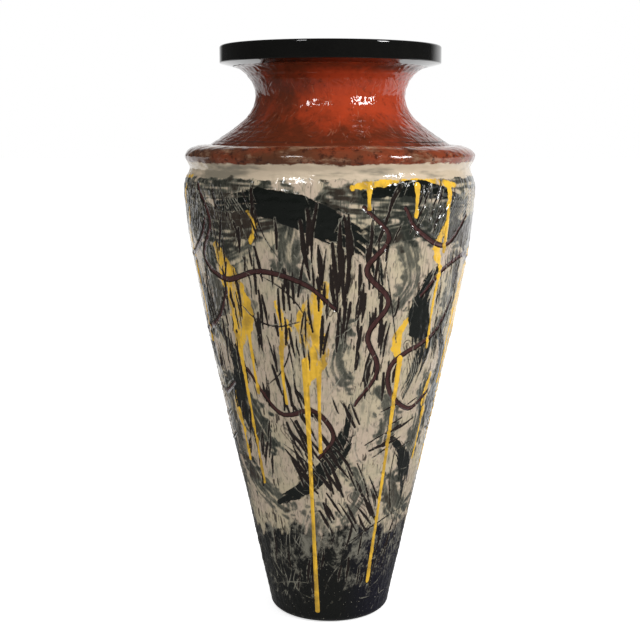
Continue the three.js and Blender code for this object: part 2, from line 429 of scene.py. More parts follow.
def trace(skin, points, half_widths, margin=14 * MM, straight=False):
    """Around a stroke: rows, columns, distance outside its edge, distance along it and across it."""
    path = np.array(points, float) if straight else smooth_path(points)
    share = np.linspace(0, 1, len(path))
    width = np.interp(share, np.linspace(0, 1, len(half_widths)), half_widths)
    reach = max(half_widths) + margin
    mean_radius = radius_at(skin.outline, path[:, 1].mean())
    spread = math.degrees(reach / mean_radius) * 1.25
    low_deg, low = path.min(0)
    high_deg, high = path.max(0)
    rows, columns, angles = skin.window(low_deg - spread, high_deg + spread, low - reach, high + reach)
    radius = skin.radius[rows][:, None]
    height = skin.height[rows][:, None]
    best = np.full((len(rows), len(columns)), 1e9)
    along, across = np.zeros_like(best), np.zeros_like(best)
    done = 0.0
    for k in range(len(path) - 1):
        (angle0, height0), (angle1, height1) = path[k], path[k + 1]
        px, py = radius * np.radians(angles - angle0)[None, :], height - height0 + 0 * angles[None, :]
        sx, sy = radius * math.radians(angle1 - angle0), height1 - height0
        length2 = sx**2 + sy**2 + 1e-12
        t = np.clip((px * sx + py * sy) / length2, 0, 1)
        away = np.hypot(px - t * sx, py - t * sy)
        edge = away - (width[k] + (width[k + 1] - width[k]) * t)
        nearer = edge < best
        best = np.where(nearer, edge, best)
        length = np.sqrt(length2)
        along = np.where(nearer, done + t * length, along)
        across = np.where(nearer, away * np.sign(px * sy - py * sx), across)
        done += float(length.mean())
    return rows, columns % COLUMNS, best, along, across


def lay(skin, name, found):
    """Adds a stroke to a mask, which holds the distance outside the nearest edge."""
    rows, columns, edge, _, _ = found
    mask = skin.field(name, FAR)
    at = np.ix_(rows, columns)
    mask[at] = np.minimum(mask[at], edge)
    return found


FAR = 30 * MM
EDGE_MASKS = ("band", "line", "pool", "drip", "gouge", "comb", "scratch")


def body_skin():
    corner = OUTER["corner"]
    wall = OUTER["wall"]
    outline = joined(
        corner,
        between(wall, wall[0, 1], FOOT_SEAM, BODY_STEP),
        between(wall, FOOT_SEAM, LOWER_SEAM, BODY_STEP),
        between(wall, LOWER_SEAM, UPPER_SEAM, BODY_STEP),
        between(wall, UPPER_SEAM, GROOVE_HEIGHT, BODY_STEP),
        OUTER["shoulder"],
        OUTER["neck"],
    )
    return Skin(outline)


# The decoration of the side that faces the camera. It is laid three times round the vase.
# Strokes are lists of (degrees, millimetres up), then half widths in millimetres along them.

BANDS = [
    ([(-46, 664), (-26, 672), (-4, 648), (14, 606), (20, 556)], [8, 20, 26, 21, 7]),
    ([(12, 684), (34, 690), (60, 672)], [5, 13, 6]),
    ([(46, 572), (40, 512), (46, 446), (39, 376)], [8, 21, 20, 7]),
    ([(-58, 478), (-47, 424), (-51, 360), (-42, 296)], [8, 17, 16, 5]),
    ([(-34, 206), (-12, 244), (6, 306), (10, 372)], [5, 14, 15, 5]),
    ([(36, 312), (50, 262), (54, 204)], [5, 15, 6]),
]
LINES = [
    (
        [(-60, 694), (-52, 640), (-60, 584), (-46, 556), (-28, 572), (-10, 556), (2, 520)],
        [2.6, 3.8, 3.8, 3.6, 2.6],
    ),
    ([(12, 666), (22, 622), (14, 576), (24, 528), (16, 478), (22, 424), (12, 372)], [2.6, 3.8, 3.8, 3.6, 2.4]),
    ([(66, 646), (50, 606), (34, 632), (28, 664)], [2.4, 3.6, 2.8]),
    ([(64, 520), (54, 474), (30, 436), (30, 388), (44, 356), (58, 376)], [2.4, 3.8, 3.6, 2.6]),
    ([(-42, 420), (-26, 356), (-8, 362), (2, 322), (-6, 286)], [2.2, 3.4, 3.4, 2.2]),
]
POURS = [
    # a pool of yellow, and its drips as (degrees, top, bottom, half width)
    (
        [(8, 694), (30, 700), (54, 694)],
        [4, 8, 4],
        [(50, 694, 598, 3.8), (33, 694, 652, 3.2), (14, 690, 664, 2.6)],
    ),
    ([(50, 640), (45, 604), (49, 570)], [4, 9, 3], [(49, 572, 452, 2.8)]),
    ([(-2, 552), (-9, 500), (-5, 450), (-10, 408)], [8, 19, 17, 5], [(-11, 440, 22, 3.2), (-5, 430, 296, 2.6)]),
    ([(-22, 528), (-19, 486), (-22, 452)], [3, 9, 3], [(-21.5, 460, 372, 2.4)]),
    (
        [(-50, 606), (-44, 556), (-40, 504), (-45, 452)],
        [6, 20, 24, 6],
        [(-44, 470, 236, 3), (-37, 500, 384, 2.6)],
    ),
    ([(34, 500), (30, 468), (33, 432)], [3, 9, 4], [(33, 440, 70, 2.8)]),
    ([(-32, 668), (-29, 640), (-31, 612)], [2, 5, 2], []),
    ([(58, 404), (56, 372), (59, 336)], [3, 8, 3], [(58, 350, 268, 2.2)]),
]
WASHES = [
    # a stroke, its half widths, and its strength
    ([(-66, 688), (-40, 690), (-14, 686)], [14, 18, 10], 0.85),
    ([(-66, 650), (-44, 636), (-18, 650)], [24, 34, 16], 1.0),
    ([(-60, 600), (-44, 586), (-32, 604)], [18, 26, 12], 0.8),
    ([(0, 676), (28, 668), (62, 660)], [16, 28, 18], 1.0),
    ([(16, 630), (40, 640), (64, 618)], [18, 28, 20], 0.95),
    ([(-14, 640), (-16, 590), (-11, 548)], [16, 26, 12], 0.75),
    ([(30, 612), (34, 560), (27, 520)], [16, 24, 12], 0.65),
    ([(60, 590), (62, 520), (54, 462)], [14, 26, 14], 0.75),
    ([(-40, 556), (-36, 508)], [14, 18], 0.5),
    ([(7, 500), (2, 436), (8, 396)], [10, 17, 8], 0.7),
    ([(-56, 400), (-44, 350), (-34, 300)], [18, 26, 12], 0.85),
    ([(24, 392), (32, 350), (30, 300)], [12, 24, 12], 0.75),
    ([(54, 392), (57, 320), (48, 250)], [16, 24, 16], 0.8),
    ([(-58, 262), (-46, 226), (-30, 200)], [16, 24, 14], 0.75),
    ([(14, 262), (20, 222), (10, 180)], [12, 20, 14], 0.65),
    ([(38, 240), (46, 200), (58, 180)], [16, 24, 16], 0.8),
    ([(-8, 190), (-14, 150)], [20, 18], 0.6),
]
COMBINGS = [
    # a stroke, its half width, and the pitch of its fine grooves in millimetres
    ([(-64, 668), (-48, 640), (-44, 596)], 22, 5.0),
    ([(-40, 676), (-34, 640), (-38, 606)], 16, 4.4),
    ([(58, 664), (52, 628), (56, 590)], 18, 4.8),
    ([(2, 610), (6, 560), (0, 512)], 12, 5.2),
    ([(36, 460), (42, 420), (38, 380)], 13, 4.6),
    ([(-24, 330), (-14, 290), (-18, 252)], 13, 4.8),
    ([(14, 220), (26, 190), (22, 160)], 13, 5.0),
]
GOUGES = [
    # centre degrees and millimetres up, half spread of both, marks, length, half width, lean in degrees
    (-34, 570, 16, 60, 24, 48, 2.7, 0),
    (6, 590, 16, 50, 26, 66, 3.5, 0),
    (-2, 520, 15, 50, 26, 52, 2.6, 2),
    (-22, 430, 15, 64, 30, 46, 2.5, -4),
    (38, 660, 20, 30, 24, 40, 1.9, 22),
    (-4, 316, 17, 70, 40, 50, 2.6, -30),
    (22, 470, 11, 80, 24, 50, 2.6, 3),
    (57, 520, 10, 80, 20, 42, 2.3, 0),
    (-44, 654, 16, 30, 26, 34, 1.7, -16),
    (38, 330, 14, 40, 15, 34, 2.3, 68),
    (-44, 300, 12, 60, 16, 44, 2.4, 12),
    (12, 214, 18, 40, 20, 50, 2.5, -24),
    (-52, 490, 9, 70, 18, 44, 2.2, 0),
    (4, 110, 50, 50, 22, 40, 2.2, 8),
]
PANEL_TURNS = (0, 120, 240)
SCRATCHES_PER_PANEL = 110
CONTOURS_PER_PANEL = 16


def stray(rng):
    """A way to shift a motif a little and perhaps turn it over. Without random draws it stays as it is."""
    if rng is None:
        return lambda centre, angle, height: (angle, height)
    side, along, up = rng.choice([-1, 1]), rng.uniform(-9, 9), rng.uniform(-22, 22)
    return lambda centre, angle, height: (centre + along + side * (angle - centre), height + up)


def placed(points, turn, move):
    centre = sum(angle for angle, _ in points) / len(points)
    moved = [move(centre, angle, height) for angle, height in points]
    return [(turn + angle, min(height, 706) * MM) for angle, height in moved]


def bristles(along, across, rng, length=40 * MM, width=2.6 * MM):
    """Streaks that run with the brush, from 0 to 1."""
    table = rng.random((64, 64))
    x, y = along / length, across / width
    column, row = np.floor(x).astype(int), np.floor(y).astype(int)
    fx, fy = x - column, y - row
    fx, fy = fx * fx * (3 - 2 * fx), fy * fy * (3 - 2 * fy)
    low = table[row % 64, column % 64] * (1 - fx) + table[row % 64, (column + 1) % 64] * fx
    high = table[(row + 1) % 64, column % 64] * (1 - fx) + table[(row + 1) % 64, (column + 1) % 64] * fx
    return low * (1 - fy) + high * fy


def draw_band(skin, points, widths, rng):
    """A loaded brush: solid in the middle of its run and dry, with streaks, towards its ends."""
    rows, columns, edge, along, across = lay(skin, "band", trace(skin, points, [w * MM for w in widths]))
    run = along.max()
    dryness = np.abs(along / run - 0.4) * 1.25 - 0.25 + 0.3 * np.clip(1 + edge / (7 * MM), 0, 1)
    cover = bristles(along, across, rng) - dryness
    field, at = skin.field("band_cover", -1), np.ix_(rows, columns)
    field[at] = np.where(edge < 4 * MM, np.maximum(field[at], cover), field[at])


def draw_wash(skin, points, widths, strength, rng):
    """A thin wash, brushed out: added to what lies under it."""
    rows, columns, edge, along, across = trace(skin, points, [w * MM for w in widths])
    field, at = skin.field("wash"), np.ix_(rows, columns)
    streaks = 0.6 * bristles(along, across, rng) + 0.4 * bristles(along, across, rng, 16 * MM, 7 * MM)
    cover = strength * inside(edge + skin.field("ragged")[at], 9 * MM) * np.clip(2.2 * streaks - 0.2, 0, 1)
    field[at] = 1 - (1 - field[at]) * (1 - cover)


def draw_combing(skin, points, half_width, pitch):
    """Fine grooves side by side, drawn with a comb."""
    widths = [0.7 * half_width * MM, half_width * MM, 0.5 * half_width * MM]
    rows, columns, edge, _, across = trace(skin, points, widths)
    teeth = np.abs((across / (pitch * MM)) % 1 - 0.5) * pitch * MM - 0.9 * MM
    teeth = np.maximum(teeth, edge)
    field, at = skin.field("comb", FAR), np.ix_(rows, columns)
    field[at] = np.minimum(field[at], teeth)


def draw_gouges(skin, turn, side, group, rng):
    angle, height, spread, rise, marks, length, half_width, lean_deg = group
    for _ in range(marks):
        at = turn + side * (angle + rng.uniform(-spread, spread))
        up = (height + rng.uniform(-rise, rise)) * MM
        half = length * rng.uniform(0.25, 0.65) * MM
        lean = math.radians(side * lean_deg + rng.normal() * 5)
        across = math.degrees(half * math.sin(lean) / radius_at(skin.outline, up))
        bend = rng.normal() * 0.4
        climb = half * math.cos(lean)
        ends = [(at - across, up - climb), (at + bend, up), (at + across, up + climb)]
        thick = half_width * rng.uniform(0.5, 1.3) * MM
        widths = [share * thick for share in (0.6, 1, 1, 0.8, 0.3)][:: rng.choice([-1, 1])]
        lay(skin, "gouge", trace(skin, ends, widths, 6 * MM, straight=True))


def draw_scratches(skin, name, count, middle_deg, half_deg, low, high, length, half_width, upright, rng):
    """Strokes and curls of a stylus."""
    for _ in range(count):
        angle, up = middle_deg + rng.uniform(-half_deg, half_deg), rng.uniform(low, high)
        heading = rng.choice([90, -90]) + rng.normal() * upright
        bend = rng.normal() * upright * 0.5
        step = length * rng.uniform(0.4, 1.3) / 3
        points = []
        for _ in range(4):
            points.append((angle, min(max(up, low), high)))
            radius = radius_at(skin.outline, points[-1][1])
            angle += math.degrees(step * math.cos(math.radians(heading)) / radius)
            up += step * math.sin(math.radians(heading))
            heading += bend
        lay(skin, name, trace(skin, points, [0.5 * half_width, half_width, 0.5 * half_width], 5 * MM))


def paint_panel(skin, turn, rng):
    free = rng if turn else None
    for points, widths in BANDS:
        draw_band(skin, placed(points, turn, stray(free)), widths, rng)
    for points, widths in LINES:
        lay(skin, "line", trace(skin, placed(points, turn, stray(free)), [w * MM for w in widths]))
    for points, widths, drips in POURS:
        move = stray(free)
        lay(skin, "pool", trace(skin, placed(points, turn, move), [w * MM for w in widths]))
        centre = sum(angle for angle, _ in points) / len(points)
        for angle, top, bottom, half_width in drips:
            angle, _ = move(centre, angle, top)
            lean = rng.normal() * 0.4
            at, middle = turn + angle, (top + bottom) / 2
            path = [(at, top * MM), (at + lean, middle * MM), (at, bottom * MM)]
            lay(skin, "drip", trace(skin, path, [w * half_width * MM for w in (1.7, 1, 0.85, 1.15)]))
    for points, widths, strength in WASHES:
        draw_wash(skin, placed(points, turn, stray(free)), widths, strength, rng)
    for points, half_width, pitch in COMBINGS:
        draw_combing(skin, placed(points, turn, stray(free)), half_width, pitch)
    for group in GOUGES:
        side = 1 if free is None else rng.choice([-1, 1])
        draw_gouges(skin, turn, side, group, rng)
    body = (turn, 60, 40 * MM, 700 * MM)
    draw_scratches(skin, "scratch", SCRATCHES_PER_PANEL, *body, 60 * MM, 0.85 * MM, 28, rng)
    draw_scratches(skin, "gouge", CONTOURS_PER_PANEL, *body, 130 * MM, 1.3 * MM, 34, rng)


def paint(skin):
    """All masks of the decoration."""
    for name in EDGE_MASKS:
        skin.field(name, FAR)
    skin.field("ragged")[:] = 5 * MM * wave_noise(skin, 60, 280, 50, 9)
    rng = np.random.default_rng(11)
    for turn in PANEL_TURNS:
        paint_panel(skin, turn, rng)
    neck = (0, 180, LEDGE_HEIGHT + 4 * MM, WAIST_HEIGHT + 22 * MM)
    draw_scratches(skin, "scratch", 330, *neck, 24 * MM, 0.7 * MM, 38, rng)


def ridge(distance, width):
    """1 at an edge, falling to 0 a width away on either side."""
    return np.exp(-((distance / width) ** 2))


def inside(distance, soft):
    """1 inside a stroke, 0 outside, with a soft edge."""
    return np.clip(0.5 - distance / soft, 0, 1)


def relief(skin):
    """How far the glazed surface stands out from the plain turned form."""
    fields = skin.fields
    above_foot = np.clip((skin.height - 4 * MM) / (20 * MM), 0, 1)
    on_body = (above_foot * np.clip((GROOVE_HEIGHT - skin.height) / (14 * MM), 0, 1))[:, None]
    wobble = wave_noise(skin, 4, 9, 14, 1) * 0.5 * MM
    lumps = wave_noise(skin, 70, 300, 60, 2) * 0.15 * MM
    rings = 0.12 * MM * np.sin(2 * math.pi * skin.distance / (13 * MM))[:, None]
    rings = rings + 0.5 * MM * ridge(skin.height - WHEEL_LINE, 1.6 * MM)[:, None]
    marks = 0.12 * MM * wave_noise(skin, 150, 38, 70, 3)
    marks = marks + 0.6 * MM * inside(fields["band"], 5 * MM) + 0.4 * MM * ridge(fields["band"], 3 * MM)
    marks = marks + 0.5 * MM * inside(fields["pool"], 5 * MM)
    marks = marks - 1.3 * MM * inside(fields["gouge"], 3 * MM)
    marks = marks + 0.5 * MM * ridge(fields["gouge"] - 1.4 * MM, 1.6 * MM)
    marks = marks - 1.3 * MM * inside(fields["line"], 4 * MM)
    marks = marks + 0.6 * MM * ridge(fields["line"] - 1.8 * MM, 2 * MM)
    marks = marks - 0.4 * MM * inside(fields["comb"], 2 * MM)
    marks = marks + 0.9 * MM * np.clip(-fields["drip"] / (2.5 * MM), 0, 1) ** 0.5
    scratches = 0.35 * MM * ridge(fields["scratch"] - 1.3 * MM, 1.2 * MM)
    scratches = scratches - 0.7 * MM * inside(fields["scratch"], 1.6 * MM)
    scratches = scratches * np.where(skin.height > LEDGE_HEIGHT, 0.5, above_foot)[:, None]
    total = above_foot[:, None] * (wobble + lumps) + rings + on_body * marks + scratches
    at_ledge = (np.abs(skin.radius - NECK_ROOT_RADIUS) < 2 * MM) & (np.abs(skin.height - LEDGE_HEIGHT) < MM)
    total[at_ledge] -= 1.2 * MM
    return total


# Meshes


def turned(outline, lift=None, normals=None):
    """Points of an outline turned about the axis, as rows by columns by x, y, z."""
    angle = np.radians(np.arange(COLUMNS) * 360 / COLUMNS - 180)
    radius = np.repeat(outline[:, 0][:, None], COLUMNS, 1)
    height = np.repeat(outline[:, 1][:, None], COLUMNS, 1)
    if lift is not None:
        radius = radius + lift * normals[:, 0][:, None]
        height = height + lift * normals[:, 1][:, None]
    return np.stack([radius * np.sin(angle), -radius * np.cos(angle), height], 2)


def grid_normals(points):
    """Unit normals of a turned grid whose rows climb on the outside."""
    around = np.roll(points, -1, 1) - np.roll(points, 1, 1)
    up = np.gradient(points, axis=0)
    found = np.cross(around, up)
    return found / np.maximum(np.linalg.norm(found, axis=2)[:, :, None], 1e-12)


def ring_faces(rows, closed):
    """Quads between rows of columns."""
    last = rows if closed else rows - 1
    row = np.arange(last)[:, None]
    column = np.arange(COLUMNS)[None, :]
    above, beside = (row + 1) % rows, (column + 1) % COLUMNS
    return np.stack(
        [row * COLUMNS + column, row * COLUMNS + beside, above * COLUMNS + beside, above * COLUMNS + column], 2
    ).reshape(-1, 4)


def make_piece(name, points, normals, fields, material, poles=False):
    """One closed mesh of a section, with its masks and its smooth normals."""
    rows = len(points)
    vertices = points.reshape(-1, 3)
    vertex_normals = normals.reshape(-1, 3)
    faces = ring_faces(rows, not poles).tolist()
    if poles:
        first, last = len(vertices), len(vertices) + 1
        ends = np.array([(0, 0, points[0, 0, 2]), (0, 0, points[-1, 0, 2])])
        vertices = np.vstack([vertices, ends])
        vertex_normals = np.vstack([vertex_normals, [(0, 0, -1), (0, 0, 1)]])
        top = (rows - 1) * COLUMNS
        for column in range(COLUMNS):
            beside = (column + 1) % COLUMNS
            faces.append((first, beside, column))
            faces.append((last, top + column, top + beside))
    mesh = bpy.data.meshes.new(name)
    mesh.from_pydata(vertices.tolist(), [], faces)
    mesh.shade_smooth()
    for key, values in fields.items():
        flat = values.reshape(-1)
        if poles:
            flat = np.concatenate([flat, [flat[0], flat[-1]]])
        attribute = mesh.attributes.new(key, "FLOAT", "POINT")
        attribute.data.foreach_set("value", flat.astype(np.float32))
    mesh.normals_split_custom_set_from_vertices(vertex_normals.tolist())
    mesh.materials.append(material)
    piece = bpy.data.objects.new(name, mesh)
    bpy.context.scene.collection.objects.link(piece)
    return piece


# Materials


class Nodes:
    """Short ways to make the nodes of a material."""

    def __init__(self, name):
        self.material = bpy.data.materials.new(name)
        self.material.use_nodes = True
        self.tree = self.material.node_tree
        self.shader = self.tree.nodes["Principled BSDF"]
        self.place = self.tree.nodes.new("ShaderNodeTexCoord").outputs["Object"]
        parts = self.new("SeparateXYZ", {0: self.place})
        self.across, self.height = parts.outputs[0], parts.outputs[2]

    def new(self, kind, inputs=None, **settings):
        node = self.tree.nodes.new("ShaderNode" + kind)
        for key, value in settings.items():
            setattr(node, key, value)
        for key, value in (inputs or {}).items():
            self.put(node.inputs[key], value)
        return node

    def put(self, socket, value):
        if isinstance(value, bpy.types.NodeSocket):
            self.tree.links.new(value, socket)
        else:
            socket.default_value = value

    def mask(self, name):
        return self.new("Attribute", attribute_name=name).outputs["Fac"]

    def math(self, operation, a, b=0.0, c=0.0):
        return self.new("Math", {0: a, 1: b, 2: c}, operation=operation).outputs[0]

    def noise(self, scale, detail=3.0, roughness=0.55, distortion=0.0, stretch=(1, 1, 1)):
        """Clouds of 1/scale metres, drawn out where the stretch is below 1."""
        vector = self.place
        if stretch != (1, 1, 1):
            vector = self.new("Mapping", {"Vector": vector, "Scale": stretch}).outputs[0]
        inputs = {
            "Vector": vector,
            "Scale": scale,
            "Detail": detail,
            "Roughness": roughness,
            "Distortion": distortion,
        }
        return self.new("TexNoise", inputs).outputs[0]

    def fade(self, value, start, end, low=0.0, high=1.0):
        """From low at start to high at end, and level beyond."""
        inputs = {0: value, 1: start, 2: end, 3: low, 4: high}
        return self.new("MapRange", inputs, interpolation_type="SMOOTHSTEP").outputs[0]

    def sum(self, *terms):
        """Adds values that are each (socket, factor), less what keeps noises centred on 0."""
        total = 0.0
        for socket, factor, centre in terms:
            total = self.math("ADD", total, self.math("MULTIPLY_ADD", socket, factor, -factor * centre))
        return total

    def mix(self, share, under, over):
        node = self.new("Mix", data_type="RGBA")
        self.put(node.inputs[0], share)
        for index, value in ((6, under), (7, over)):
            self.put(node.inputs[index], (*value, 1) if isinstance(value, tuple) else value)
        return node.outputs[2]

    def edge(self, name, wander, softness, scale=140.0, outside=0.0):
        """1 inside a painted mask, with an edge that wanders by some millimetres."""
        ragged = self.noise(scale, 4, 0.6)
        shift = self.math("MULTIPLY_ADD", ragged, 2 * wander * MM, -(wander + outside) * MM)
        return self.fade(self.math("ADD", self.mask(name), shift), softness * MM, -softness * MM)

    def finish(self, colour, bump_height, bump_distance=0.5 * MM, roughness=0.07):
        bump = self.new("Bump", {"Height": bump_height, "Distance": bump_distance, "Strength": 0.6})
        self.put(self.shader.inputs["Base Color"], colour)
        self.put(self.shader.inputs["Roughness"], roughness)
        self.put(self.shader.inputs["Normal"], bump.outputs[0])
        self.shader.inputs["IOR"].default_value = 1.5
        return self.material


CREAM = (0.6, 0.49, 0.36)
CREAM_SMUDGE = (0.13, 0.125, 0.095)
PINK_GROUND = (0.54, 0.43, 0.33)
SAND_GROUND = (0.53, 0.45, 0.31)
GREY_GROUND = (0.27, 0.25, 0.18)
WASH_GREY = (0.085, 0.09, 0.072)
CHARCOAL = (0.016, 0.019, 0.015)
WARM_CHARCOAL = (0.03, 0.02, 0.014)
BLACK_GREEN = (0.006, 0.0075, 0.006)
GOUGE_BROWN = (0.016, 0.01, 0.008)
MAROON = (0.062, 0.024, 0.022)
YELLOW = (0.84, 0.5, 0.045)
OCHRE = (0.5, 0.3, 0.04)
NAVY_BLACK = (0.0035, 0.0035, 0.011)
FOOT_BLACK = (0.005, 0.0055, 0.0045)
CHALK = (0.36, 0.34, 0.27)
BEAD_BROWN = (0.1, 0.036, 0.017)
RED_BROWN = (0.22, 0.045, 0.018)
NECK_BROWN = (0.11, 0.024, 0.01)
DARK_BROWN = (0.04, 0.012, 0.007)
ORANGE_RED = (0.43, 0.052, 0.017)
# Light red for scored glaze on the neck, partly a painted highlight along the scratches
SCORED_RED_AND_HIGHLIGHT = (0.4, 0.2, 0.12)
# Pale tan for brushed wear on the bead, also used for a painted highlight along the bead's top
WORN_TAN_AND_HIGHLIGHT = (0.42, 0.27, 0.17)
CLAY = (0.45, 0.34, 0.25)
INTERIOR = (0.03, 0.02, 0.016)
RIM_BLACK = (0.003, 0.003, 0.003)
RIM_GREY = (0.007, 0.007, 0.006)


def ground_colour(nodes):
    """The pale ground: sand to pink, cloudy, with fine vertical streaks of grey."""
    base = nodes.mix(nodes.fade(nodes.noise(16, 5, 0.6), 0.38, 0.62), PINK_GROUND, SAND_GROUND)
    cloudy = nodes.fade(nodes.noise(34, 6, 0.68), 0.5, 0.78, 0, 0.6)
    base = nodes.mix(cloudy, base, GREY_GROUND)
    streaks = nodes.noise(170, 4, 0.6, stretch=(1, 1, 0.09))
    base = nodes.mix(nodes.fade(streaks, 0.5, 0.7, 0, 0.8), base, GREY_GROUND)
    hairlines = nodes.noise(420, 2, 0.5, stretch=(1, 1, 0.035))
    return nodes.mix(nodes.fade(hairlines, 0.58, 0.66, 0, 0.6), base, WASH_GREY)


def cream_colour(nodes):
    """The band under the bead, smudged with grey."""
    smudge = nodes.noise(8, 4, 0.6, stretch=(1, 1, 4.5))
    return nodes.mix(nodes.fade(smudge, 0.5, 0.66, 0, 0.75), CREAM, CREAM_SMUDGE)


def wash_layers(nodes, colour):
    """Green-grey washes that turn to charcoal where they are thick, browner in places."""
    grain = nodes.noise(190, 6, 0.78, stretch=(1, 1, 0.4))
    cloud = nodes.noise(22, 8, 0.8, 0.5, (1, 1, 0.5))
    cover = nodes.sum((nodes.mask("wash"), 1.1, 0), (grain, 1.1, 0.5), (cloud, 1.0, 0.54))
    colour = nodes.mix(nodes.fade(cover, 0.05, 0.62, 0, 0.88), colour, WASH_GREY)
    warm = nodes.fade(nodes.noise(11, 2), 0.47, 0.6)
    return nodes.mix(nodes.fade(cover, 0.45, 1.05, 0, 0.94), colour, nodes.mix(warm, CHARCOAL, WARM_CHARCOAL))


def yellow_colour(nodes):
    return nodes.mix(nodes.fade(nodes.noise(34, 3), 0.34, 0.56), OCHRE, YELLOW)


def foot_layer(nodes, colour):
    """The black foot: a ragged upper edge, rubbed patches and pale specks."""
    edge = nodes.noise(12, 6, 0.62, stretch=(1, 1, 0.5))
    top = nodes.math("MULTIPLY_ADD", edge, 0.34, -0.012)
    rubbed = nodes.noise(50, 6, 0.72, 0.5, (1, 1, 0.5))
    dark = nodes.fade(nodes.sum((nodes.height, 1, 0), (top, -1, 0), (rubbed, 0.05, 0.5)), 0.01, -0.01)
    specks = nodes.fade(nodes.noise(330, 2, 0.5), 0.7, 0.75, 0, 0.8)
    upward = nodes.sum((rubbed, 1, 0), (nodes.height, 1.0, 0), (nodes.noise(120, 3, 0.6), 0.3, 0.5))
    worn = nodes.math("MAXIMUM", specks, nodes.fade(upward, 0.6, 0.78, 0, 0.55))
    black = nodes.mix(nodes.fade(nodes.across, 0.01, 0.08), FOOT_BLACK, NAVY_BLACK)
    return nodes.mix(dark, colour, nodes.mix(worn, black, CHALK))


def painted_glaze():
    """The body's decoration, layer over layer."""
    nodes = Nodes("painted_glaze")
    colour = ground_colour(nodes)
    short_marks = nodes.fade(nodes.noise(190, 2, 0.5, stretch=(1, 1, 0.07)), 0.59, 0.625, 0, 0.85)
    in_patches = nodes.fade(nodes.noise(15, 3, 0.6), 0.45, 0.58)
    colour = nodes.mix(nodes.math("MULTIPLY", short_marks, in_patches), colour, GOUGE_BROWN)
    colour = wash_layers(nodes, colour)

    thin = nodes.fade(nodes.noise(95, 4, 0.6, stretch=(1, 1, 0.12)), 0.34, 0.47)
    pool = nodes.math("MULTIPLY", nodes.edge("pool", 7, 0.7, 80), thin)
    colour = nodes.mix(pool, colour, yellow_colour(nodes))

    cover = nodes.sum((nodes.mask("band_cover"), 1, 0), (nodes.noise(120, 5, 0.75), 0.9, 0.5))
    band = nodes.math("MULTIPLY", nodes.edge("band", 7, 0.7, 55), nodes.fade(cover, -0.1, 0.22))
    colour = nodes.mix(band, colour, BLACK_GREEN)

    in_places = nodes.fade(nodes.noise(60, 3), 0.38, 0.5)
    combed = nodes.math("MULTIPLY", nodes.edge("comb", 0.5, 0.5, 230), in_places)
    colour = nodes.mix(nodes.math("MULTIPLY", combed, 0.75), colour, nodes.mix(band, WARM_CHARCOAL, CHALK))
    foot = foot_layer(nodes, colour)

    raised = nodes.fade(nodes.noise(120, 3), 0.4, 0.6)
    burr = nodes.math("MULTIPLY", nodes.edge("gouge", 0.8, 0.5, 200, 0.9), raised)
    colour = nodes.mix(nodes.math("MULTIPLY", burr, 0.55), foot, CHALK)
    colour = nodes.mix(nodes.edge("gouge", 1.0, 0.45, 240), colour, GOUGE_BROWN)
    colour = nodes.mix(nodes.edge("line", 0.9, 0.4, 150, 0.6), colour, GOUGE_BROWN)
    colour = nodes.mix(nodes.edge("line", 0.9, 0.5, 150, -0.8), colour, MAROON)

    filled = nodes.fade(nodes.noise(70, 3), 0.35, 0.6)
    scratched = nodes.math("MULTIPLY", nodes.edge("scratch", 0.4, 0.5, 300), filled)
    colour = nodes.mix(nodes.math("MULTIPLY", scratched, 0.7), colour, CHALK)
    colour = nodes.mix(nodes.edge("drip", 0.5, 0.35, 180), colour, yellow_colour(nodes))

    ragged = nodes.noise(34, 4, 0.6, stretch=(1, 1, 2.4))
    collar_edge = nodes.math("MULTIPLY_ADD", ragged, -0.02, 0.714)
    collar = nodes.fade(nodes.math("SUBTRACT", nodes.height, collar_edge), -0.0008, 0.0008)
    colour = nodes.mix(collar, colour, cream_colour(nodes))

    colour = nodes.mix(nodes.mask("inside"), colour, INTERIOR)
    colour = nodes.mix(nodes.mask("bare"), colour, CLAY)
    roughness = nodes.fade(nodes.mask("bare"), 0, 1, 0.07, 0.8)
    swell = nodes.noise(60, 3, 0.6, stretch=(1, 1, 0.5))
    ripple = nodes.sum((nodes.noise(150, 3, 0.6), 1.6, 0.5), (swell, 3, 0.5))
    return nodes.finish(colour, ripple, roughness=roughness)


def brown_glaze():
    """The bead and ledge: red-brown, with painted light that makes it redder to the right and a painted
    highlight along its top, brushed down to a ragged edge over the cream.
    """
    nodes = Nodes("brown_glaze")
    # Painted light: redder and lighter towards the right, the side of the stronger lamp
    painted_light_rightward = nodes.fade(nodes.across, -0.05, 0.2, 0, 0.22)
    redness_and_painted_light = nodes.math("ADD", nodes.noise(14, 5, 0.6, stretch=(1, 1, 1.5)), painted_light_rightward)
    colour = nodes.mix(nodes.fade(redness_and_painted_light, 0.46, 0.72), BEAD_BROWN, RED_BROWN)
    mottle = nodes.noise(120, 4, 0.65)
    brushed = nodes.noise(30, 5, 0.65, stretch=(1, 1, 3))
    colour = nodes.mix(nodes.fade(brushed, 0.5, 0.7, 0, 0.5), colour, WORN_TAN_AND_HIGHLIGHT)
    colour = nodes.mix(nodes.fade(mottle, 0.48, 0.66, 0, 0.8), colour, DARK_BROWN)
    edge = nodes.math("MULTIPLY_ADD", brushed, 0.016, 0.717)
    below = nodes.fade(nodes.math("SUBTRACT", nodes.height, edge), 0.0012, -0.0012)
    colour = nodes.mix(below, colour, cream_colour(nodes))
    # Painted highlight: a pale line along the top of the bead, where the lamps would catch it
    on_top = nodes.fade(nodes.height, 0.746, 0.748)
    painted_highlight_line = nodes.math("MULTIPLY", on_top, nodes.fade(brushed, 0.42, 0.6))
    colour = nodes.mix(nodes.math("MULTIPLY", painted_highlight_line, 0.5), colour, WORN_TAN_AND_HIGHLIGHT)
    colour = nodes.mix(nodes.mask("inside"), colour, INTERIOR)
    return nodes.finish(colour, nodes.sum((mottle, 1, 0.5), (brushed, 2, 0.5)), 0.5 * MM)


